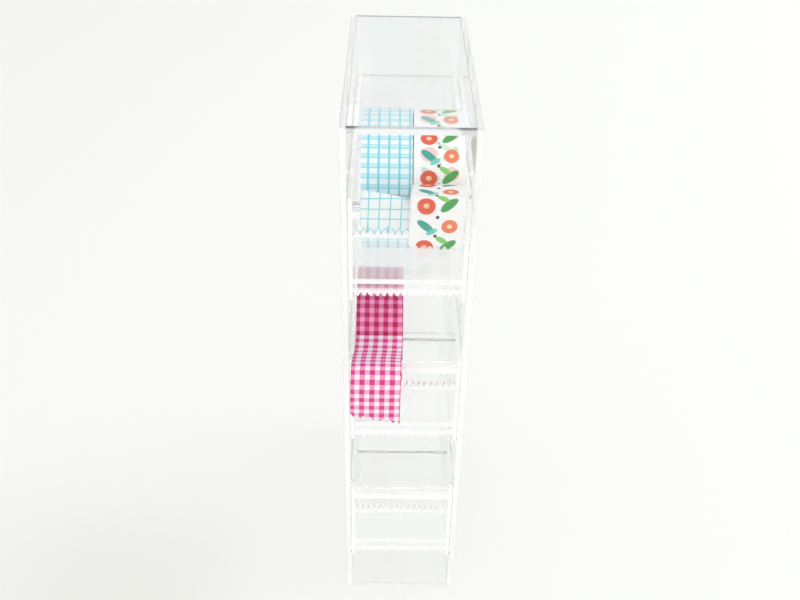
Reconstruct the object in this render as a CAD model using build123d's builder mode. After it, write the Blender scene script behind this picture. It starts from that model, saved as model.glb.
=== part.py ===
from build123d import *
import os
from math import cos, radians, sin

# Washi tape drawer box: a tall, narrow case of clear plastic, open at the front,
# with three pull-out trays. Each tray has a toothed cutting plate and a guide bar
# across its front, room for two tape rolls behind them, and a bin behind a partition.
# X runs to the right, Y to the back and Z up. The origin is the middle of the underside.
# All sizes are millimetres.

# Tape rolls
tape_width = 15.0
core_bore = 30.0
core_wall = 1.7
winding = 3.8               # thickness of the wound tape
core_inset = 0.1            # the core's ends lie this far inside the tape's edges
lay_gap = 0.3               # under a roll that lies in its tray
roll_gap = 0.25             # between two rolls side by side

# Trays
side_play = 2.6             # what two rolls leave free between the side walls
front_play = 2.9            # between the cutting plate and a roll
rear_play = 0.7             # between a roll and the partition
tray_wall = 1.3
wall_over_axis = 6.2        # side walls' tops above the rolls' axis
floor_lift = 5.6            # floor's underside above the side walls' lower edges
floor_thickness = 1.6
partition_thickness = 1.4
partition_rise = 2.1        # partition's top above the side walls
bin_length = 41.3           # room behind the partition
back_wall = 1.4
root_round = 0.7            # inside corners along the floor
rim_round = 0.5             # corners of the side walls

# Cutting plates and guide bars
plate_thickness = 1.6
plate_lift = 1.3            # lower tips above the side walls' lower edges
tooth_pitch = 2.0
tooth_depth = 1.9
groove_length = 3.3         # ground flutes, from the tips to where they run out
groove_depth = 0.9
tape_slot = 3.6             # from the upper tips to the guide bar
bar_thickness = 2.5
bar_depth = 4.0
bar_drop = 3.3              # bar's top below the side walls' upper edges
bar_round = 0.5

# Case
sheet = 1.8                 # thickness of every panel
slide_gap = 0.3             # between a tray and each side panel
back_gap = 0.4              # behind a tray that is pushed home
base_room = 17.6            # bottom tray's lower edges above the table
head_room = 8.0             # between a roll and the tray above it
top_room = 6.4              # between the upper rolls and the top panel
edge_round = 0.4
corner_round = 0.8 * sheet  # corners of the case seen from the side

# Ribs inside the side panels
runner_reach = 1.5
runner_thickness = 1.4
runner_setback = 2.0        # from the case's front
runner_gap = 0.2            # under a tray's side walls
guide_reach = 1.2
guide_thickness = 1.2
guide_length = 14.0
guide_gap = 0.3             # above a tray's side walls

# Free ends of the tape
strip_thickness = 0.4
strip_gap = 0.35            # a free end's clearance from its roll

# Worked out from the sizes above
tiers = ("bottom", "middle", "top")
core_outer = core_bore + 2 * core_wall
roll_radius = core_outer / 2 + winding
tray_inner = 2 * tape_width + side_play
tray_outer = tray_inner + 2 * tray_wall
case_inner = tray_outer + 2 * slide_gap
case_width = case_inner + 2 * sheet
floor_top = floor_lift + floor_thickness
roll_lift = floor_top + lay_gap + roll_radius
roll_top = roll_lift + roll_radius
roll_setback = plate_thickness + front_play + roll_radius
partition_setback = roll_setback + roll_radius + rear_play
tray_height = roll_lift + wall_over_axis
tray_depth = partition_setback + partition_thickness + bin_length + back_wall
case_depth = tray_depth + back_gap + sheet
tier_pitch = roll_top + head_room
tray_base = {tier: base_room + level * tier_pitch for level, tier in enumerate(tiers)}
case_height = tray_base["top"] + roll_top + top_room + sheet
front = -case_depth / 2
bar_top = tray_height - bar_drop
upper_tips = bar_top - bar_thickness - tape_slot
teeth = int(tray_inner / tooth_pitch)

# Each roll: its tier, its left edge from the tray's left wall, where its tape leaves
# it in degrees above its front, and the free end's corners, each one so far in front
# of the case, so far above the guide bar and bent to such a radius.
blue_left = 2.1
floral_left = blue_left + tape_width + roll_gap
pink_left = 0.5
blue_route = [(7.8, 9.8, 2.2), (9.2, 1.2, 0)]
floral_route = [(3.0, 10.5, 12.0), (16.3, 12.5, 4.0), (16.3, -1.1, 0)]
pink_route = [(-0.4, 6.7, 10.0), (20.0, 13.0, 6.0), (19.8, -4.0, 0)]
rolls = {
    "blue_grid": ("top", blue_left, 9.5, blue_route),
    "floral": ("top", floral_left, 23.0, floral_route),
    "pink_gingham": ("middle", pink_left, 30.2, pink_route),
}

os.makedirs("parts", exist_ok=True)


def save(piece, name):
    piece.part.label = name
    export_step(piece.part, f"parts/{name}.step")


# Side panels, with a runner under each tray and a short rib that keeps it from tipping
for side, hand in (("left", -1), ("right", 1)):
    with BuildPart() as side_panel:
        with BuildSketch(Plane.YZ.offset(hand * case_width / 2)):
            with Locations((0, case_height / 2)):
                RectangleRounded(case_depth, case_height, corner_round)
        extrude(amount=-hand * sheet)
        outer_face = side_panel.faces().sort_by(Axis.X)[0 if hand < 0 else -1]
        fillet(outer_face.edges(), edge_round)
        with BuildSketch(Plane.YZ.offset(hand * case_inner / 2)):
            for base in tray_base.values():
                with Locations((front + runner_setback, base - runner_gap)):
                    Rectangle(
                        case_depth - sheet - runner_setback,
                        runner_thickness,
                        align=(Align.MIN, Align.MAX),
                    )
        extrude(amount=-hand * runner_reach)
        with BuildSketch(Plane.YZ.offset(hand * case_inner / 2)):
            for base in tray_base.values():
                with Locations((front + runner_setback, base + tray_height + guide_gap)):
                    Rectangle(guide_length, guide_thickness, align=(Align.MIN, Align.MIN))
        extrude(amount=-hand * guide_reach)
    save(side_panel, f"{side}_side_panel")

# Top and bottom panels, glued between the side panels
for level, face_index, height in (("bottom", 0, sheet / 2), ("top", -1, case_height - sheet / 2)):
    with BuildPart() as level_panel:
        with BuildSketch(Plane.YZ.offset(-case_inner / 2)):
            with Locations((0, height)):
                Rectangle(case_depth, sheet)
        extrude(amount=case_inner)
        outer_face = level_panel.faces().sort_by(Axis.Z)[face_index]
        fillet(outer_face.edges().filter_by(Axis.X), corner_round)
    save(level_panel, f"{level}_panel")

# Back panel, between the other four
with BuildPart() as back_panel:
    with BuildSketch(Plane.XZ.offset(sheet - case_depth / 2)):
        with Locations((0, case_height / 2)):
            Rectangle(case_inner, case_height - 2 * sheet)
    extrude(amount=-sheet)
save(back_panel, "back_panel")

# Trays
for tier, base in tray_base.items():
    with BuildPart() as tray:
        for hand in (-1, 1):
            with BuildSketch(Plane.YZ.offset(hand * tray_outer / 2)):
                with Locations((front, base)):
                    Rectangle(tray_depth, tray_height, align=(Align.MIN, Align.MIN))
                fillet(vertices(), rim_round)
            extrude(amount=-hand * tray_wall)
        with BuildSketch(Plane.YZ.offset(-tray_inner / 2)) as section:
            with Locations((front + plate_thickness, base + floor_lift)):
                Rectangle(
                    tray_depth - plate_thickness, floor_thickness, align=(Align.MIN, Align.MIN)
                )
            with Locations((front + partition_setback, base + floor_lift)):
                Rectangle(
                    partition_thickness,
                    tray_height + partition_rise - floor_lift,
                    align=(Align.MIN, Align.MIN),
                )
            with Locations((front + tray_depth, base + floor_lift)):
                Rectangle(back_wall, tray_height - floor_lift, align=(Align.MAX, Align.MIN))
            floor_line = base + floor_top
            along_floor = section.vertices().filter_by(lambda v: abs(v.Y - floor_line) < 0.01)
            fillet(along_floor.sort_by(Axis.X)[1:], root_round)
        extrude(amount=tray_inner)
    save(tray, f"{tier}_tray")

# Cutting plates: a row of teeth along each long edge, with a tapering flute between teeth
first_tooth = -teeth * tooth_pitch / 2
flute_places = [(first_tooth + i * tooth_pitch, 0) for i in range(teeth + 1)]
for tier, base in tray_base.items():
    low_tip = base + plate_lift
    high_tip = base + upper_tips
    outline = [(-tray_inner / 2, low_tip + tooth_depth)]
    for i in range(teeth):
        outline.append((first_tooth + i * tooth_pitch, low_tip + tooth_depth))
        outline.append((first_tooth + (i + 0.5) * tooth_pitch, low_tip))
    outline.append((-first_tooth, low_tip + tooth_depth))
    outline.append((tray_inner / 2, low_tip + tooth_depth))
    outline.append((tray_inner / 2, high_tip - tooth_depth))
    for i in reversed(range(teeth)):
        outline.append((first_tooth + (i + 1) * tooth_pitch, high_tip - tooth_depth))
        outline.append((first_tooth + (i + 0.5) * tooth_pitch, high_tip))
    outline.append((first_tooth, high_tip - tooth_depth))
    outline.append((-tray_inner / 2, high_tip - tooth_depth))
    with BuildPart() as cutter_plate:
        with BuildSketch(Plane.XZ.offset(-front)):
            with BuildLine():
                Polyline(*outline, close=True)
            make_face()
        extrude(amount=-plate_thickness)
        for tip, way in ((low_tip, 1), (high_tip, -1)):
            flute_plane = Plane(
                origin=(0, front + groove_depth, tip),
                x_dir=(way, 0, 0),
                z_dir=(0, -groove_depth, way * groove_length),
            )
            with BuildSketch(flute_plane):
                with Locations(*flute_places):
                    Triangle(
                        c=4 * groove_depth,
                        a=3 * groove_depth,
                        b=3 * groove_depth,
                        align=(Align.CENTER, Align.MAX),
                    )
            extrude(amount=2 * groove_length, both=True, mode=Mode.SUBTRACT)
    save(cutter_plate, f"{tier}_cutter_plate")

# Guide bars that the tape is drawn over
for tier, base in tray_base.items():
    with BuildPart() as guide_bar:
        with BuildSketch(Plane.YZ.offset(-tray_inner / 2)):
            with Locations((front, base + bar_top)):
                Rectangle(bar_depth, bar_thickness, align=(Align.MIN, Align.MAX))
            fillet(vertices(), bar_round)
        extrude(amount=tray_inner)
    save(guide_bar, f"{tier}_guide_bar")

# Tape rolls: the wound tape, the paper core it is wound on and the free end
for name, (tier, left_gap, peel_angle, corners) in rolls.items():
    left_edge = left_gap - tray_inner / 2
    axis_y = front + roll_setback
    axis_z = tray_base[tier] + roll_lift
    with BuildPart() as wound_tape:
        with BuildSketch(Plane.YZ.offset(left_edge)):
            with Locations((axis_y, axis_z)):
                Circle(roll_radius)
                Circle(core_outer / 2, mode=Mode.SUBTRACT)
        extrude(amount=tape_width)
    save(wound_tape, f"{name}_tape")

    with BuildPart() as core:
        with BuildSketch(Plane.YZ.offset(left_edge + core_inset)):
            with Locations((axis_y, axis_z)):
                Circle(core_outer / 2)
                Circle(core_bore / 2, mode=Mode.SUBTRACT)
        extrude(amount=tape_width - 2 * core_inset)
    save(core, f"{name}_core")

    peel_radius = roll_radius + strip_gap + strip_thickness
    route = [
        (
            axis_y - peel_radius * cos(radians(peel_angle)),
            axis_z + peel_radius * sin(radians(peel_angle)),
        )
    ]
    for reach, rise, bend in corners:
        route.append((front - reach, tray_base[tier] + bar_top + rise))
    bends = [bend for reach, rise, bend in corners[:-1]]
    with BuildPart() as free_end:
        with BuildSketch(Plane.YZ.offset(left_edge)):
            with BuildLine():
                FilletPolyline(*route, radius=bends)
            trace(line_width=strip_thickness)
        extrude(amount=tape_width)
    save(free_end, f"{name}_free_end")
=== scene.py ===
import bmesh
import bpy
import math
from mathutils import Euler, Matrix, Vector


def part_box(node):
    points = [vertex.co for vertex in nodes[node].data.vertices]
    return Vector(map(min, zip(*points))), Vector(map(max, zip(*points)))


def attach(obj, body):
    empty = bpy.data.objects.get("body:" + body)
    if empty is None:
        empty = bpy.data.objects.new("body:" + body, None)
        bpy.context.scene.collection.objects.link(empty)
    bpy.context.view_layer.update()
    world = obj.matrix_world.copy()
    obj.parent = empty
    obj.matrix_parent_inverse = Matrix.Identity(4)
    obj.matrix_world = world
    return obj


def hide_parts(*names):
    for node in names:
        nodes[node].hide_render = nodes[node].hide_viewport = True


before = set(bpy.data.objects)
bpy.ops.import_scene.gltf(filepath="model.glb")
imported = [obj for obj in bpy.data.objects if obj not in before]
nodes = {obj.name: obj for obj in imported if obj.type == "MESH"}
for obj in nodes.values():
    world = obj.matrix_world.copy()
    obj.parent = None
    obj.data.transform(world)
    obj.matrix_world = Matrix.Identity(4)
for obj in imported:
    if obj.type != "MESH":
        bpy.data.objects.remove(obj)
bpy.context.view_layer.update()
mm = 0.001
print("frame loaded:", len(nodes), "nodes")


# ---- helpers

def linearColour(hexColour, alpha=1.0):
    # sRGB hex to the linear values that the shaders use
    channels = [int(hexColour[i:i + 2], 16) / 255 for i in (1, 3, 5)]
    return [c / 12.92 if c <= 0.04045 else ((c + 0.055) / 1.055) ** 2.4 for c in channels] + [alpha]


def addNode(tree, kind, settings=None, inputs=None):
    # one node with its settings, its values and the sockets that feed it
    node = tree.nodes.new(kind)
    for name, value in (settings or {}).items():
        setattr(node, name, value)
    for name, value in (inputs or {}).items():
        if isinstance(value, bpy.types.NodeSocket):
            tree.links.new(value, node.inputs[name])
        else:
            node.inputs[name].default_value = value
    return node


def newMaterial(name):
    material = bpy.data.materials.new(name)
    material.use_nodes = True
    material.node_tree.nodes.clear()
    return material, material.node_tree


# ---- camera, floor and light

camera = {
    "placeMm": (-5.74, -293.82, 302.56),
    "turnDeg": (55.29, -1.06, -0.10),
    "focalMm": 44.9,
    "sensorMm": 36.0,
}


def makeCamera(c):
    data = bpy.data.cameras.new("camera")
    data.lens = c["focalMm"]
    data.sensor_width = c["sensorMm"]
    data.clip_start = 0.01
    ob = bpy.data.objects.new("camera", data)
    ob.location = Vector(c["placeMm"]) * mm
    ob.rotation_euler = Euler([math.radians(a) for a in c["turnDeg"]])
    bpy.context.scene.collection.objects.link(ob)
    bpy.context.scene.camera = ob


studio = {
    "floorMm": 9000.0,
    "floorHex": "#f7f8f5",
    "floorRoughness": 0.75,
    "floorDropMm": 0.05,      # below the case's underside
    "roomHex": "#fffefa",
    "roomStrength": 0.74,     # as it lights things
    "roomSeen": 0.95,         # as plastic shows it
    "keyPlaceMm": (2000.0, 500.0, 2200.0),
    "keySizeMm": 1500.0,
    "keyWatts": 35.5,
    "keyHex": "#f2f6ff",
    "fillPlaceMm": (-300.0, -2600.0, 900.0),
    "fillSizeMm": 1500.0,
    "fillWatts": 18.0,
    "fillHex": "#ffffff",
}


def makeFloor(s):
    material, tree = newMaterial("whiteTabletop")
    shade = addNode(tree, "ShaderNodeBsdfPrincipled", None,
                    {"Base Color": linearColour(s["floorHex"]), "Roughness": s["floorRoughness"]})
    addNode(tree, "ShaderNodeOutputMaterial", None, {"Surface": shade.outputs[0]})
    half = s["floorMm"] / 2 * mm
    mesh = bpy.data.meshes.new("floor")
    z = -s["floorDropMm"] * mm
    corners = [(-half, -half, z), (half, -half, z), (half, half, z), (-half, half, z)]
    mesh.from_pydata(corners, [], [(0, 1, 2, 3)])
    mesh.materials.append(material)
    floor = bpy.data.objects.new("floor", mesh)
    bpy.context.scene.collection.objects.link(floor)


def makeWorld(s):
    world = bpy.data.worlds.new("softWhiteRoom")
    world.use_nodes = True
    tree = world.node_tree
    tree.nodes.clear()
    path = addNode(tree, "ShaderNodeLightPath").outputs
    # the room is nearly white to the eye and in the plastic, and dimmer as a light
    strength = addNode(tree, "ShaderNodeMapRange", {"interpolation_type": "SMOOTHSTEP"},
                       {"Value": path["Diffuse Depth"], "To Min": s["roomSeen"], "To Max": s["roomStrength"]})
    back = addNode(tree, "ShaderNodeBackground", None,
                   {"Color": linearColour(s["roomHex"]), "Strength": strength.outputs[0]})
    addNode(tree, "ShaderNodeOutputWorld", None, {"Surface": back.outputs[0]})
    bpy.context.scene.world = world


def makeLamp(name, placeMm, sizeMm, watts, hexColour):
    data = bpy.data.lights.new(name, "AREA")
    data.shape = "SQUARE"
    data.size = sizeMm * mm
    data.energy = watts
    data.color = linearColour(hexColour)[:3]
    ob = bpy.data.objects.new(name, data)
    ob.location = Vector(placeMm) * mm
    ob.rotation_euler = (-ob.location).to_track_quat("-Z", "Y").to_euler()
    ob.visible_glossy = False      # the room alone shows in the plastic
    bpy.context.scene.collection.objects.link(ob)


makeCamera(camera)
makeFloor(studio)
makeWorld(studio)
makeLamp("windowRight", studio["keyPlaceMm"], studio["keySizeMm"], studio["keyWatts"], studio["keyHex"])
makeLamp("softFront", studio["fillPlaceMm"], studio["fillSizeMm"], studio["fillWatts"], studio["fillHex"])
scene = bpy.context.scene
scene.view_settings.view_transform = "Standard"
bounces = 64                       # light runs far along inside the clear panels
scene.cycles.max_bounces = bounces
scene.cycles.transmission_bounces = bounces
scene.cycles.glossy_bounces = bounces
scene.cycles.transparent_max_bounces = 48
print("camera, floor and light made")


# ---- clear plastic

clearPlastic = {
    "ior": 1.59,              # polystyrene
    "roughness": 0.03,
    "plateRoughness": 0.08,   # the front plates are slightly satin
    "rippleMm": 22.0,         # slow waves left by the mould
    "rippleStrength": 0.02,
    "rippleHighMm": 1.0,
    "paleHex": "#feffff",     # sides, bottom and trays
    "shadedTintHex": "#fafcfd",     # top and back: painted shade, the same plastic made a little darker and cooler
    "haze": 0.03,             # share of light that the plastic scatters
    "trayHaze": 0.1,
    "glintHaze": 0.6,         # painted highlight: matt white on ends, teeth and rims, for the glints they catch
    "endMm": (0.6, 0.3),      # the white of an end starts and is full this far inside it
    "toothMm": 3.3,           # height of the whitened teeth
    "rimMm": 0.7,
    "fullShare": 0.65,        # share of a tooth or rim that is fully white
    "shadowHex": "#fdfdfd",   # light that each face lets on to what is behind
}


def clearStyrene(name, tint, roughness, haze, ends=(), glintRows=()):
    # injection-moulded clear polystyrene: glossy and colourless, with slow mould waves; its bright edges are a painted
    # highlight of matt white haze
    c = clearPlastic
    material, tree = newMaterial(name)
    place = addNode(tree, "ShaderNodeTexCoord").outputs["Object"]
    waves = addNode(tree, "ShaderNodeTexNoise", None,
                    {"Vector": place, "Scale": 1 / (c["rippleMm"] * mm), "Detail": 1.0})
    bump = addNode(tree, "ShaderNodeBump", None, {
        "Strength": c["rippleStrength"], "Distance": c["rippleHighMm"] * mm, "Height": waves.outputs[0]})
    glass = {
        "Base Color": linearColour(tint),
        "Roughness": roughness,
        "IOR": c["ior"],
        "Transmission Weight": 1.0 - haze,
        "Normal": bump.outputs[0],
    }
    spot = addNode(tree, "ShaderNodeSeparateXYZ", None, {0: place}).outputs
    glints = []
    for end in ends:
        # painted highlight: the ends are made matt white, standing in for the bright glints of the clear edges
        outwards = addNode(tree, "ShaderNodeMath", {"operation": "MULTIPLY"}, {0: spot["Y"], 1: math.copysign(1, end)})
        first, full = [(abs(end) - inside) * mm for inside in c["endMm"]]
        glints.append({"Value": outwards.outputs[0], "From Min": first, "From Max": full,
                       "To Min": 0.0, "To Max": c["glintHaze"]})
    for tip, deep in glintRows:
        # painted highlight: teeth and rounded rims are whitened, standing in for the glints of their many small facets
        above = addNode(tree, "ShaderNodeMath", {"operation": "SUBTRACT"}, {0: spot["Z"], 1: tip * mm})
        away = addNode(tree, "ShaderNodeMath", {"operation": "ABSOLUTE"}, {0: above.outputs[0]})
        glints.append({"Value": away.outputs[0], "From Min": deep * c["fullShare"] * mm, "From Max": deep * mm,
                       "To Min": c["glintHaze"], "To Max": 0.0})
    mask = None
    for white in glints:
        row = addNode(tree, "ShaderNodeMapRange", {"interpolation_type": "SMOOTHSTEP"}, white).outputs[0]
        if mask is not None:
            row = addNode(tree, "ShaderNodeMath", {"operation": "MAXIMUM"}, {0: mask, 1: row}).outputs[0]
        mask = row
    if mask is not None:
        glass["Transmission Weight"] = addNode(
            tree, "ShaderNodeMath", {"operation": "SUBTRACT"}, {0: 1.0 - haze, 1: mask}).outputs[0]
    plastic = addNode(tree, "ShaderNodeBsdfPrincipled", None, glass)
    # light for the things behind goes straight through, so that they aren't in a hard shadow
    through = addNode(tree, "ShaderNodeBsdfTransparent", None, {"Color": linearColour(c["shadowHex"])})
    path = addNode(tree, "ShaderNodeLightPath").outputs
    surface = plastic.outputs[0]
    for ray in ("Is Shadow Ray", "Is Diffuse Ray"):
        mixed = addNode(tree, "ShaderNodeMixShader", None, {0: path[ray], 1: surface, 2: through.outputs[0]})
        surface = mixed.outputs[0]
    addNode(tree, "ShaderNodeOutputMaterial", None, {"Surface": surface})
    return material


def dress(node, material):
    ob = nodes[node]
    for slotIndex in range(len(ob.material_slots)):
        ob.material_slots[slotIndex].material = material
    if not ob.material_slots:
        ob.data.materials.append(material)


def dressClear(c):
    tiers = ("top", "middle", "bottom")
    # ends, tray fronts, tray rims and plate teeth: where the white of the painted highlight goes
    caseEnds = [corner[1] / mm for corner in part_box("left_side_panel")]
    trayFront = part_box("top_cutter_plate")[1][1] / mm
    rims = [(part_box(f"{tier}_tray")[1][2] / mm, c["rimMm"]) for tier in tiers]
    caseClear = clearStyrene("clearStyreneCase", c["paleHex"], c["roughness"], c["haze"], caseEnds)
    trayClear = clearStyrene("clearStyreneTray", c["paleHex"], c["roughness"], c["trayHaze"], (trayFront,), rims)
    for name in ("left_side_panel", "right_side_panel", "bottom_panel"):
        dress(name, caseClear)
    # no haze over the rolls, which show through the top; the top and back take the darker tint, painted shade
    dress("top_panel", clearStyrene("clearStyreneTop", c["shadedTintHex"], c["roughness"], 0.0, caseEnds))
    dress("back_panel", clearStyrene("clearStyreneBack", c["shadedTintHex"], c["roughness"], c["haze"]))
    for tier in tiers:
        dress(f"{tier}_tray", trayClear)
        dress(f"{tier}_guide_bar", trayClear)
        rows = [(corner[2] / mm, c["toothMm"]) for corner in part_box(f"{tier}_cutter_plate")]
        dress(f"{tier}_cutter_plate", clearStyrene(
            f"satinStyrenePlate_{tier}", c["paleHex"], c["plateRoughness"], c["trayHaze"], (), rows))


dressClear(clearPlastic)
print("clear plastic dressed")


# ---- paper core

coreBoard = {
    "boardHex": "#d9d4ca",
    "lineHex": "#bdb6aa",
    "fleckHex": "#efeae1",
    "plyMm": 0.55,            # one ply of the spiral-wound board
    "lineMm": 0.12,           # how far the glue line between two plies fades out
    "lineStrength": 0.8,
    "fibreMm": 0.6,
    "fleckNoise": (0.35, 0.75),  # noise from which a fleck starts and is full
    "fleckStrength": 0.35,
    "fibreHighMm": 0.2,
    "bumpStrength": 0.25,
    "roughness": 0.85,
}


def distanceFromAxis(tree, place, axis):
    # how far a point is from a line along X, and its parts: x, y and z from the line
    apart = addNode(tree, "ShaderNodeVectorMath", {"operation": "SUBTRACT"}, {0: place, 1: axis})
    parts = addNode(tree, "ShaderNodeSeparateXYZ", None, {0: apart.outputs[0]}).outputs
    sideways = addNode(tree, "ShaderNodeCombineXYZ", None, {"Y": parts["Y"], "Z": parts["Z"]})
    length = addNode(tree, "ShaderNodeVectorMath", {"operation": "LENGTH"}, {0: sideways.outputs[0]})
    return length.outputs["Value"], parts


def woundBoard(name, c, axis):
    # spiral-wound grey board: matt, with fine ply rings on its ends and short fibres
    material, tree = newMaterial(name)
    place = addNode(tree, "ShaderNodeTexCoord").outputs["Object"]
    radius = distanceFromAxis(tree, place, axis)[0]
    ring = addNode(tree, "ShaderNodeMath", {"operation": "PINGPONG"}, {0: radius, 1: c["plyMm"] / 2 * mm})
    line = addNode(tree, "ShaderNodeMapRange", {"interpolation_type": "SMOOTHSTEP"}, {
        "Value": ring.outputs[0], "From Min": 0.0, "From Max": c["lineMm"] * mm,
        "To Min": c["lineStrength"], "To Max": 0.0})
    fibre = addNode(tree, "ShaderNodeTexNoise", None,
                    {"Vector": place, "Scale": 1 / (c["fibreMm"] * mm), "Detail": 4.0, "Roughness": 0.7})
    lined = addNode(tree, "ShaderNodeMix", {"data_type": "RGBA"}, {
        "Factor": line.outputs[0], 6: linearColour(c["boardHex"]), 7: linearColour(c["lineHex"])})
    fleck = addNode(tree, "ShaderNodeMapRange", {"interpolation_type": "SMOOTHSTEP"}, {
        "Value": fibre.outputs[0], "From Min": c["fleckNoise"][0], "From Max": c["fleckNoise"][1],
        "To Max": c["fleckStrength"]})
    flecked = addNode(tree, "ShaderNodeMix", {"data_type": "RGBA"}, {
        "Factor": fleck.outputs[0], 6: lined.outputs[2], 7: linearColour(c["fleckHex"])})
    bump = addNode(tree, "ShaderNodeBump", None, {
        "Strength": c["bumpStrength"], "Distance": c["fibreHighMm"] * mm, "Height": fibre.outputs[0]})
    board = addNode(tree, "ShaderNodeBsdfPrincipled", None, {
        "Base Color": flecked.outputs[2], "Roughness": c["roughness"], "Normal": bump.outputs[0]})
    addNode(tree, "ShaderNodeOutputMaterial", None, {"Surface": board.outputs[0]})
    return material


# ---- printed tape

def newPrint(name):
    # a print as a node group: millimetres across and along the tape in, colour out
    group = bpy.data.node_groups.new(name, "ShaderNodeTree")
    for socket in ("Across", "Along"):
        group.interface.new_socket(socket, in_out="INPUT", socket_type="NodeSocketFloat")
    group.interface.new_socket("Color", in_out="OUTPUT", socket_type="NodeSocketColor")
    entry = addNode(group, "NodeGroupInput")
    return group, entry.outputs["Across"], entry.outputs["Along"]


def closePrint(group, colour):
    addNode(group, "NodeGroupOutput", None, {"Color": colour})


def lineMask(tree, value, period, offset, width, soft=0.07):
    # 1 on lines of such a width, repeated
    shifted = addNode(tree, "ShaderNodeMath", {"operation": "SUBTRACT"}, {0: value, 1: offset})
    away = addNode(tree, "ShaderNodeMath", {"operation": "PINGPONG"}, {0: shifted.outputs[0], 1: period / 2})
    mask = addNode(tree, "ShaderNodeMapRange", {"interpolation_type": "SMOOTHSTEP"}, {
        "Value": away.outputs[0], "From Min": width / 2 - soft, "From Max": width / 2 + soft,
        "To Min": 1.0, "To Max": 0.0})
    return mask.outputs[0]


def layInk(tree, under, mask, inkHex, strength):
    # one ink printed over what is there, as strong as it comes through
    share = addNode(tree, "ShaderNodeMath", {"operation": "MULTIPLY"}, {0: mask, 1: strength})
    laid = addNode(tree, "ShaderNodeMix", {"data_type": "RGBA"},
                   {"Factor": share.outputs[0], 6: under, 7: linearColour(inkHex)})
    return laid.outputs[2]


gridPrint = {
    "periodMm": 3.0,
    "firstMm": 2.2,           # first long line from the left edge
    "crossMm": 1.0,           # first cross line from the peel line
    "lineMm": 0.34,
    "paperHex": "#f4fafb",
    "lineHex": "#8fdbe9",
    # on the roll: long lines over each other, with their soft edge, and cross lines of two layers
    "rollLongMm": (0.62, 0.12),
    "rollCrossMm": 0.36,
    "rollCrossInk": 0.8,
    "ghostAtMm": 2.1,
    "ghostMm": 0.3,
    "ghostInk": 0.45,
    "bandAtMm": 1.55,
    "bandMm": (1.25, 0.12),
    "rollPaperHex": "#eef8f9",
    "rollLineHex": "#82d5e8",
    "bandHex": "#c6ecf3",
}


def gridFree(name, g):
    # one layer of white rice paper with thin cyan lines
    group, across, along = newPrint(name)
    up = lineMask(group, across, g["periodMm"], g["firstMm"], g["lineMm"])
    level = lineMask(group, along, g["periodMm"], g["crossMm"], g["lineMm"])
    both = addNode(group, "ShaderNodeMath", {"operation": "MAXIMUM"}, {0: up, 1: level}).outputs[0]
    closePrint(group, layInk(group, linearColour(g["paperHex"]), both, g["lineHex"], 1.0))
    return group


def gridWound(name, g):
    # many layers: the lines below show through as broad pale bands beside the printed ones
    group, across, along = newPrint(name)
    period, lineHex = g["periodMm"], g["rollLineHex"]
    band = lineMask(group, along, period, g["bandAtMm"], *g["bandMm"])
    level = lineMask(group, along, period, g["crossMm"], g["rollCrossMm"])
    ghost = lineMask(group, along, period, g["ghostAtMm"], g["ghostMm"])
    up = lineMask(group, across, period, g["firstMm"], *g["rollLongMm"])
    colour = layInk(group, linearColour(g["rollPaperHex"]), band, g["bandHex"], 1.0)
    colour = layInk(group, colour, ghost, lineHex, g["ghostInk"])
    colour = layInk(group, colour, level, lineHex, g["rollCrossInk"])
    closePrint(group, layInk(group, colour, up, lineHex, 1.0))
    return group


gingham = {
    "periodMm": 3.0,
    "firstMm": 0.45,          # middle of the first dark stripe from the left edge
    "crossMm": 0.4,           # middle of the first dark stripe from the peel line
    "stripeMm": (1.55, 0.09),    # width and soft edge
    "free": ("#fff7fb", "#f89fcb", "#f3b4d3", "#df2d90"),   # bare, long stripe, cross stripe, both
    "wound": ("#f0a4c8", "#de4c92", "#d96fa2", "#b60049"),
}


def ginghamPrint(name, g, colours):
    # a woven-look check: each stripe alone gives a middle tone, crossed stripes the full ink
    group, across, along = newPrint(name)
    bare, up, level, both = [linearColour(c) for c in colours]
    upMask = lineMask(group, across, g["periodMm"], g["firstMm"], *g["stripeMm"])
    levelMask = lineMask(group, along, g["periodMm"], g["crossMm"], *g["stripeMm"])
    plain = addNode(group, "ShaderNodeMix", {"data_type": "RGBA"}, {"Factor": upMask, 6: bare, 7: up})
    crossed = addNode(group, "ShaderNodeMix", {"data_type": "RGBA"}, {"Factor": upMask, 6: level, 7: both})
    check = addNode(group, "ShaderNodeMix", {"data_type": "RGBA"},
                    {"Factor": levelMask, 6: plain.outputs[2], 7: crossed.outputs[2]})
    closePrint(group, check.outputs[2])
    return group


confetti = {
    "periodMm": 12.4,
    "paperHex": "#f9f9f8",
    "ink": 0.94,
    "ghostInk": 0.38,         # the dabs of the layer below
    "ghostShiftMm": 5.3,
    "edge": (0.92, 1.06),     # a dab's soft edge, in shares of its size
    "spots": [                # across, along, half length, half width, turn in degrees, colour
        (4.4, 2.3, 2.5, 2.3, 0, "#e4502e"),
        (4.4, 2.3, 0.8, 0.7, 0, "#f9cfa6"),
        (10.6, 2.7, 2.9, 1.15, 38, "#34a044"),
        (9.0, 4.6, 1.8, 0.85, -30, "#7fd065"),
        (7.2, 5.9, 0.5, 0.5, 0, "#2f3838"),
        (4.4, 8.9, 2.8, 1.1, -38, "#22a596"),
        (6.2, 7.2, 1.7, 0.8, 30, "#74d0c0"),
        (10.9, 8.9, 2.2, 2.1, 0, "#f07a4e"),
        (10.9, 8.9, 0.7, 0.65, 0, "#fbe2c2"),
        (7.5, 11.7, 0.5, 0.5, 0, "#2f3838"),
    ],
}


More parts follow.
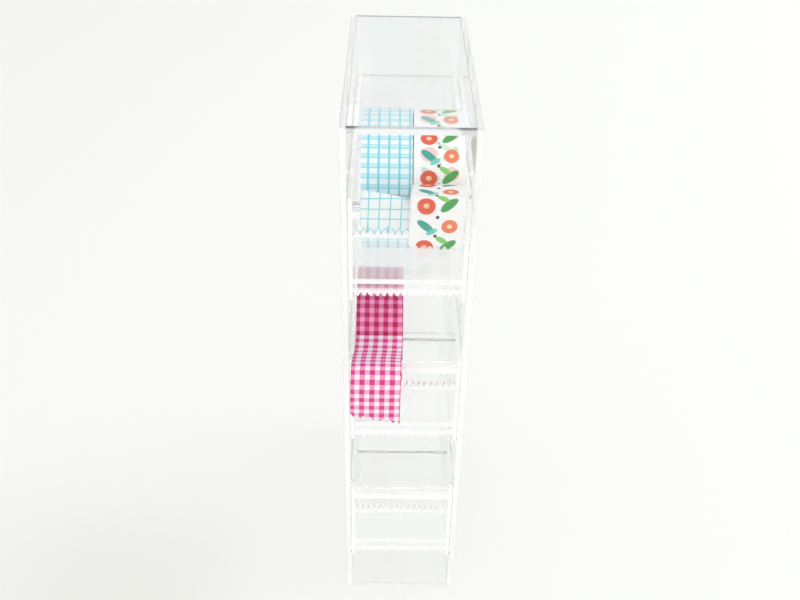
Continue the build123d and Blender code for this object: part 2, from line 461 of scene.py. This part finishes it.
def spotMask(tree, across, along, spot, p):
    # an oval with a soft edge, repeated along the tape
    acrossMm, alongMm, longMm, wideMm, turn, _ = spot
    half = p["periodMm"] / 2
    ahead = addNode(tree, "ShaderNodeMath", {"operation": "SUBTRACT"}, {0: along, 1: alongMm})
    wrapped = addNode(tree, "ShaderNodeMath", {"operation": "WRAP"}, {0: ahead.outputs[0], 1: half, 2: -half})
    aside = addNode(tree, "ShaderNodeMath", {"operation": "SUBTRACT"}, {0: across, 1: acrossMm})
    centred = addNode(tree, "ShaderNodeCombineXYZ", None, {"X": aside.outputs[0], "Y": wrapped.outputs[0]})
    turned = addNode(tree, "ShaderNodeMapping", {"vector_type": "TEXTURE"}, {
        "Vector": centred.outputs[0], "Rotation": (0, 0, math.radians(turn)), "Scale": (longMm, wideMm, 1.0)})
    away = addNode(tree, "ShaderNodeVectorMath", {"operation": "LENGTH"}, {0: turned.outputs[0]})
    mask = addNode(tree, "ShaderNodeMapRange", {"interpolation_type": "SMOOTHSTEP"}, {
        "Value": away.outputs["Value"], "From Min": p["edge"][0], "From Max": p["edge"][1],
        "To Min": 1.0, "To Max": 0.0})
    return mask.outputs[0]


def confettiPrint(name, p, layers):
    # white rice paper with round and leaf-shaped dabs; each layer is a shift along the tape and its ink
    group, across, along = newPrint(name)
    colour = linearColour(p["paperHex"])
    for shift, ink in layers:
        moved = addNode(group, "ShaderNodeMath", {"operation": "ADD"}, {0: along, 1: shift}).outputs[0]
        for spot in p["spots"]:
            mask = spotMask(group, across, moved, spot, p)
            colour = layInk(group, colour, mask, spot[-1], ink)
    closePrint(group, colour)
    return group


paper = {
    "roughness": 0.62,
    "sheen": 0.25,            # specular level
    "fibreMm": 0.9,
    "fibreStrength": 0.18,
    "fibreHighMm": 0.1,
    "cloudNoise": (0.3, 0.75),
    "cloudStrength": 0.05,
    "letsThrough": 0.16,      # share of what is behind that shows through one layer
}


def finishPaper(tree, colour, place, clear):
    # washi: long kozo fibres give a cloudy, slightly uneven white and a soft matt sheen
    fibre = addNode(tree, "ShaderNodeTexNoise", None, {
        "Vector": place, "Scale": 1 / (paper["fibreMm"] * mm), "Detail": 3.0, "Distortion": 1.5})
    cloud = addNode(tree, "ShaderNodeMapRange", {"interpolation_type": "SMOOTHSTEP"}, {
        "Value": fibre.outputs[0], "From Min": paper["cloudNoise"][0], "From Max": paper["cloudNoise"][1],
        "To Max": paper["cloudStrength"]})
    clouded = addNode(tree, "ShaderNodeMix", {"data_type": "RGBA"},
                      {"Factor": cloud.outputs[0], 6: colour, 7: linearColour("#ffffff")})
    bump = addNode(tree, "ShaderNodeBump", None, {
        "Strength": paper["fibreStrength"], "Distance": paper["fibreHighMm"] * mm, "Height": fibre.outputs[0]})
    sheet = addNode(tree, "ShaderNodeBsdfPrincipled", None, {
        "Base Color": clouded.outputs[2], "Roughness": paper["roughness"], "Specular IOR Level": paper["sheen"],
        "Normal": bump.outputs[0]})
    surface = sheet.outputs[0]
    if clear:
        hole = addNode(tree, "ShaderNodeBsdfTransparent")
        thin = addNode(tree, "ShaderNodeMixShader", None, {0: clear, 1: surface, 2: hole.outputs[0]})
        surface = thin.outputs[0]
    addNode(tree, "ShaderNodeOutputMaterial", None, {"Surface": surface})


rollEnd = {
    "ringMm": 0.1111,         # one ring of paper edges
    "ringNoise": (0.35, 0.7),
    "faceShare": (0.5, 0.7),  # a face turned this far sideways is the roll's end
}


def woundMaterial(name, group, roll):
    # the print round the roll, and paler paper edges with fine rings on its ends
    material, tree = newMaterial(name)
    place = addNode(tree, "ShaderNodeTexCoord").outputs["Object"]
    radius, parts = distanceFromAxis(tree, place, (roll["leftM"], roll["axisY"], roll["axisZ"]))
    across = addNode(tree, "ShaderNodeMath", {"operation": "DIVIDE"}, {0: parts["X"], 1: mm}).outputs[0]
    forwards = addNode(tree, "ShaderNodeMath", {"operation": "MULTIPLY"}, {0: parts["Y"], 1: -1.0})
    angle = addNode(tree, "ShaderNodeMath", {"operation": "ARCTAN2"}, {0: parts["Z"], 1: forwards.outputs[0]})
    past = addNode(tree, "ShaderNodeMath", {"operation": "SUBTRACT"}, {0: angle.outputs[0], 1: roll["peel"]})
    along = addNode(tree, "ShaderNodeMath", {"operation": "MULTIPLY"},
                    {0: past.outputs[0], 1: roll["radius"] / mm}).outputs[0]
    printed = addNode(tree, "ShaderNodeGroup", {"node_tree": group}, {"Across": across, "Along": along})
    ringAt = addNode(tree, "ShaderNodeMath", {"operation": "DIVIDE"}, {0: radius, 1: rollEnd["ringMm"] * mm})
    rings = addNode(tree, "ShaderNodeTexNoise", {"noise_dimensions": "1D"}, {"W": ringAt.outputs[0], "Detail": 2.0})
    dark = addNode(tree, "ShaderNodeMapRange", {"interpolation_type": "SMOOTHSTEP"}, {
        "Value": rings.outputs[0], "From Min": rollEnd["ringNoise"][0], "From Max": rollEnd["ringNoise"][1]})
    light, shade = [linearColour(c) for c in roll["edgeHex"]]
    edge = addNode(tree, "ShaderNodeMix", {"data_type": "RGBA"}, {"Factor": dark.outputs[0], 6: light, 7: shade})
    normal = addNode(tree, "ShaderNodeNewGeometry").outputs["True Normal"]
    facing = addNode(tree, "ShaderNodeSeparateXYZ", None, {0: normal})
    sideways = addNode(tree, "ShaderNodeMath", {"operation": "ABSOLUTE"}, {0: facing.outputs["X"]})
    onEnd = addNode(tree, "ShaderNodeMapRange", {"interpolation_type": "SMOOTHSTEP"}, {
        "Value": sideways.outputs[0], "From Min": rollEnd["faceShare"][0], "From Max": rollEnd["faceShare"][1]})
    skin = addNode(tree, "ShaderNodeMix", {"data_type": "RGBA"},
                   {"Factor": onEnd.outputs[0], 6: printed.outputs[0], 7: edge.outputs[2]})
    finishPaper(tree, skin.outputs[2], place, 0.0)
    return material


def freeMaterial(name, group, flatMm):
    # one layer of the same tape, read from the strip's own map: across and along in shares of its size
    material, tree = newMaterial(name)
    texture = addNode(tree, "ShaderNodeTexCoord")
    parts = addNode(tree, "ShaderNodeSeparateXYZ", None, {0: texture.outputs["UV"]}).outputs
    across = addNode(tree, "ShaderNodeMath", {"operation": "MULTIPLY"}, {0: parts["X"], 1: flatMm[0]})
    along = addNode(tree, "ShaderNodeMath", {"operation": "MULTIPLY"}, {0: parts["Y"], 1: -flatMm[1]})
    printed = addNode(tree, "ShaderNodeGroup", {"node_tree": group},
                      {"Across": across.outputs[0], "Along": along.outputs[0]})
    finishPaper(tree, printed.outputs[0], texture.outputs["Object"], paper["letsThrough"])
    return material


# ---- wound tape, as a spiral made by Geometry Nodes

winding = {
    "laps": 19,               # drawn at twice the paper's real thickness, so that they show
    "steps": 96,
    "lapGap": 0.06,           # share of a lap left open
    "wanderMm": 0.07,         # how far a lap strays sideways
    "wanderPerM": 14.0,       # changes of side for each metre of tape
    "sharpRad": 0.7,          # the paper's edges stay sharp
    "seed": 3.0,
}


def windingTree(w):
    tree = bpy.data.node_groups.new("tapeWinding", "GeometryNodeTree")
    tree.interface.new_socket("Geometry", in_out="OUTPUT", socket_type="NodeSocketGeometry")
    sizes = ("Laps", "Inner Radius", "Outer Radius", "Width", "Thickness", "Wander", "Seed", "Peel Angle")
    for name in sizes:
        tree.interface.new_socket(name, in_out="INPUT", socket_type="NodeSocketFloat")
    for name, kind in (("Steps", "Int"), ("Centre", "Vector"), ("Paper", "Material")):
        tree.interface.new_socket(name, in_out="INPUT", socket_type=f"NodeSocket{kind}")
    entry = addNode(tree, "NodeGroupInput").outputs
    # the tape's path, straying a little to the sides
    spiral = addNode(tree, "GeometryNodeCurveSpiral", None, {
        "Resolution": entry["Steps"], "Rotations": entry["Laps"],
        "Start Radius": entry["Inner Radius"], "End Radius": entry["Outer Radius"], "Height": 0.0})
    length = addNode(tree, "GeometryNodeSplineParameter").outputs["Length"]
    noiseAt = addNode(tree, "ShaderNodeMath", {"operation": "MULTIPLY_ADD"},
                      {0: length, 1: w["wanderPerM"], 2: entry["Seed"]})
    noise = addNode(tree, "ShaderNodeTexNoise", {"noise_dimensions": "1D"}, {"W": noiseAt.outputs[0], "Detail": 1.0})
    centred = addNode(tree, "ShaderNodeMath", {"operation": "SUBTRACT"}, {0: noise.outputs[0], 1: 0.5})
    aside = addNode(tree, "ShaderNodeMath", {"operation": "MULTIPLY"}, {0: centred.outputs[0], 1: entry["Wander"]})
    offset = addNode(tree, "ShaderNodeCombineXYZ", None, {"Z": aside.outputs[0]})
    strayed = addNode(tree, "GeometryNodeSetPosition", None,
                      {"Geometry": spiral.outputs[0], "Offset": offset.outputs[0]})
    # a thin band along it, with sharp edges
    upright = addNode(tree, "GeometryNodeSetCurveNormal", {"mode": "Z_UP"}, {"Curve": strayed.outputs[0]})
    profile = addNode(tree, "GeometryNodeCurvePrimitiveQuadrilateral", None,
                      {"Width": entry["Thickness"], "Height": entry["Width"]})
    swept = addNode(tree, "GeometryNodeCurveToMesh", None,
                    {"Curve": upright.outputs[0], "Profile Curve": profile.outputs[0], "Fill Caps": True})
    corner = addNode(tree, "GeometryNodeInputMeshEdgeAngle").outputs["Unsigned Angle"]
    isRound = addNode(tree, "ShaderNodeMath", {"operation": "LESS_THAN"}, {0: corner, 1: w["sharpRad"]})
    edged = addNode(tree, "GeometryNodeSetShadeSmooth", {"domain": "EDGE"},
                    {"Geometry": swept.outputs[0], "Shade Smooth": isRound.outputs[0]})
    # its outer end turned to the peel line, then stood up on the roll's axis
    toPeel = addNode(tree, "ShaderNodeMath", {"operation": "SUBTRACT"}, {0: math.pi, 1: entry["Peel Angle"]})
    turn = addNode(tree, "ShaderNodeCombineXYZ", None, {"Z": toPeel.outputs[0]})
    turned = addNode(tree, "GeometryNodeTransform", None, {"Geometry": edged.outputs[0], "Rotation": turn.outputs[0]})
    stood = addNode(tree, "GeometryNodeTransform", None, {
        "Geometry": turned.outputs[0], "Rotation": (math.pi / 2, 0, math.pi / 2), "Translation": entry["Centre"]})
    real = addNode(tree, "GeometryNodeRealizeInstances", None, {"Geometry": stood.outputs[0]})
    painted = addNode(tree, "GeometryNodeSetMaterial", None, {"Geometry": real.outputs[0], "Material": entry["Paper"]})
    addNode(tree, "NodeGroupOutput", None, {"Geometry": painted.outputs[0]})
    return tree


def runTree(name, tree, values):
    # sets the named inputs, evaluates once and keeps a plain mesh
    mesh = bpy.data.meshes.new(name + "Start")
    ob = bpy.data.objects.new(name, mesh)
    bpy.context.scene.collection.objects.link(ob)
    modifier = ob.modifiers.new("make", "NODES")
    modifier.node_group = tree
    for item in tree.interface.items_tree:
        if item.in_out == "INPUT" and item.name in values:
            modifier[item.identifier] = values[item.name]
    bpy.context.view_layer.update()
    evaluated = ob.evaluated_get(bpy.context.evaluated_depsgraph_get())
    made = bpy.data.meshes.new_from_object(evaluated, depsgraph=bpy.context.evaluated_depsgraph_get())
    ob.modifiers.clear()
    ob.data = made
    made.name = name
    bpy.data.meshes.remove(mesh)
    return ob


# ---- free ends of the tape

def bendOnce(point, start, turn, radius):
    # bends the strip up (or down) beyond a line across it
    s, w, h = point
    q = s - start
    if q <= 0:
        return point
    side = 1 if turn > 0 else -1
    swept = min(q / radius, abs(turn))
    rest = max(q - radius * abs(turn), 0.0)
    arm = radius - side * h
    along = arm * math.sin(swept) + rest * math.cos(swept)
    up = side * (radius - arm * math.cos(swept) + rest * math.sin(swept))
    return (start + along, w, up)


def blendValue(stops, s):
    # a smooth value along the strip from a few stops: distance and value
    for (s0, v0), (s1, v1) in zip(stops, stops[1:]):
        if s <= s1:
            t = min(max((s - s0) / (s1 - s0), 0.0), 1.0)
            return v0 + (v1 - v0) * t * t * (3 - 2 * t)
    return stops[-1][1]


# lengths in millimetres along the strip from the peel line, angles in degrees
freeEnds = {
    "blue_grid": {
        "peelDeg": 9.5,       # above the roll's front
        "riseDeg": 37.0,
        "lengthMm": 25.0,
        "endSlantMm": 0.0,    # how much longer the right edge is
        "bends": [(14.6, -124.0, 2.0)],             # start, turn, radius
        "skew": 0.20,         # how much further each bend starts for each millimetre to the right
        "twist": [(0, 0), (13, 13.0), (25, 13.0)],  # drop of the right edge
        "drift": [(0, 0), (14, 0.7), (26, 0.4)],    # millimetres sideways
    },
    "floral": {
        "peelDeg": 23.0,
        "riseDeg": 31.0,
        "lengthMm": 34.0,
        "endSlantMm": 0.6,
        "bends": [(7.5, -22.4, 12.0), (18.6, -98.6, 4.0)],
        "skew": 0.0,
        "twist": [(0, 0), (34, 0.0)],
        "drift": [(0, 0), (22, -1.3), (34, -1.6)],
    },
    "pink_gingham": {
        "peelDeg": 30.2,
        "riseDeg": -9.0,
        "lengthMm": 38.0,
        "endSlantMm": 2.9,
        "bends": [(3.9, 27.8, 10.0), (19.2, -109.5, 6.0)],
        "skew": 0.0,
        "twist": [(0, 0), (38, 0.0)],
        "drift": [(0, 0), (20, -0.7), (38, -0.9)],
    },
}
strip = {
    "thicknessMm": 0.12,
    "stepMm": 0.5,
    "acrossSteps": 30,
    "toothMm": 2.0,           # pitch of the cut edge
    "toothDeepMm": 1.3,
    "toothShift": 0.25,       # share of a tooth that the middle of the strip is off
    "endPower": 8,            # only the last rows follow the cut edge
    "camberMm": 0.12,         # how far the middle bows up
    "camberFromMm": 6.0,      # the bow is full from here
    "gapMm": 0.06,            # from the roll at the peel line
}


def stripPoint(e, w, share, width):
    # where a point of the strip ends up: w across, share of the length along; also its place along the flat strip
    tooth = abs((w / strip["toothMm"] + strip["toothShift"]) % 1.0 - 0.5) * 2 * strip["toothDeepMm"]
    slant = e["endSlantMm"] * (w / width + 0.5)
    s = share * (e["lengthMm"] + (tooth + slant) * share ** strip["endPower"])
    camber = strip["camberMm"] * math.cos(math.pi * w / width) * min(s / strip["camberFromMm"], 1)
    point = (s, w, camber)
    for start, turn, radius in reversed(e["bends"]):
        point = bendOnce(point, start + e["skew"] * w, math.radians(turn), radius)
    return point, s


def makeFreeEnd(name, e, roll, material):
    width = roll["widthM"] / mm
    rows, cols = int(e["lengthMm"] / strip["stepMm"]), strip["acrossSteps"]
    peel, rise = math.radians(e["peelDeg"]), math.radians(e["riseDeg"])
    reach = roll["radius"] / mm + strip["gapMm"] + strip["thicknessMm"] / 2
    origin = Vector((roll["leftM"] / mm + width / 2,
                     roll["axisY"] / mm - reach * math.cos(peel),
                     roll["axisZ"] / mm + reach * math.sin(peel)))
    ahead = Vector((0, -math.cos(rise), math.sin(rise)))
    above = Vector((0, math.sin(rise), math.cos(rise)))
    aside = Vector((1, 0, 0))
    mesh = bmesh.new()
    uvLayer = mesh.loops.layers.uv.new("UVMap")
    grid, flat = [], {}
    for i in range(rows + 1):
        line = []
        for j in range(cols + 1):
            w = (j / cols - 0.5) * width
            point, s = stripPoint(e, w, i / rows, width)
            place = origin + ahead * point[0] + aside * point[1] + above * point[2]
            drop = math.tan(math.radians(blendValue(e["twist"], s))) * w
            place += Vector((blendValue(e["drift"], s), 0, -drop))
            vert = mesh.verts.new(place * mm)
            flat[vert] = (w / width + 0.5, s / e["lengthMm"])
            line.append(vert)
        grid.append(line)
    for low, high in zip(grid, grid[1:]):
        for j in range(cols):
            mesh.faces.new((low[j], low[j + 1], high[j + 1], high[j]))
    for face in mesh.faces:
        face.smooth = True
        for loop in face.loops:
            loop[uvLayer].uv = flat[loop.vert]
    bmesh.ops.recalc_face_normals(mesh, faces=mesh.faces)
    data = bpy.data.meshes.new(name)
    mesh.to_mesh(data)
    mesh.free()
    data.materials.append(material)
    ob = bpy.data.objects.new(name, data)
    bpy.context.scene.collection.objects.link(ob)
    solid = ob.modifiers.new("paperThickness", "SOLIDIFY")
    solid.thickness = strip["thicknessMm"] * mm
    solid.offset = 0.0
    return ob


# ---- the three rolls

looks = {
    "blue_grid": {
        "drawer": "top_drawer",
        "edgeHex": ("#e3f2f5", "#bfe3ea"),
        "wound": gridWound("gridWound", gridPrint),
        "free": gridFree("gridFree", gridPrint),
    },
    "floral": {
        "drawer": "top_drawer",
        "edgeHex": ("#f2f1ee", "#dcdad5"),
        "wound": confettiPrint("confettiWound", confetti,
                               ((confetti["ghostShiftMm"], confetti["ghostInk"]), (0.0, confetti["ink"]))),
        "free": confettiPrint("confettiFree", confetti, ((0.0, confetti["ink"]),)),
    },
    "pink_gingham": {
        "drawer": "middle_drawer",
        "edgeHex": ("#f4c5d9", "#dd5e97"),
        "wound": ginghamPrint("ginghamWound", gingham, gingham["wound"]),
        "free": ginghamPrint("ginghamFree", gingham, gingham["free"]),
    },
}
print("prints made")


def makeRoll(name, look, tree, w):
    low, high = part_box(f"{name}_tape")
    coreLow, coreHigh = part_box(f"{name}_core")
    end = freeEnds[name]
    roll = {
        "leftM": low[0], "widthM": high[0] - low[0],
        "axisY": (low[1] + high[1]) / 2, "axisZ": (low[2] + high[2]) / 2,
        "radius": (high[2] - low[2]) / 2, "coreRadius": (coreHigh[2] - coreLow[2]) / 2,
        "peel": math.radians(end["peelDeg"]), "edgeHex": look["edgeHex"],
    }
    middle = (roll["leftM"] + roll["widthM"] / 2, roll["axisY"], roll["axisZ"])
    lap = (roll["radius"] - roll["coreRadius"]) / w["laps"]
    wander = 2 * w["wanderMm"] * mm
    wound = runTree(f"{name}Winding", tree, {
        "Laps": w["laps"] - 1.0, "Steps": w["steps"],
        "Inner Radius": roll["coreRadius"] + lap / 2, "Outer Radius": roll["radius"] - lap / 2,
        "Width": roll["widthM"] - wander, "Thickness": lap * (1 - w["lapGap"]), "Wander": wander, "Seed": w["seed"],
        "Peel Angle": roll["peel"], "Centre": middle,
        "Paper": woundMaterial(f"{name}WashiWound", look["wound"], roll),
    })
    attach(wound, f"{name}_roll")
    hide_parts(f"{name}_tape")
    dress(f"{name}_core", woundBoard(f"{name}Paperboard", coreBoard, middle))
    flatMm = (roll["widthM"] / mm, end["lengthMm"])
    free = makeFreeEnd(f"{name}FreeEnd", end, roll, freeMaterial(f"{name}WashiFree", look["free"], flatMm))
    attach(free, look["drawer"])
    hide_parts(f"{name}_free_end")
    print(name, "roll and free end made")


spiralTree = windingTree(winding)
for rollName, rollLook in looks.items():
    makeRoll(rollName, rollLook, spiralTree, winding)
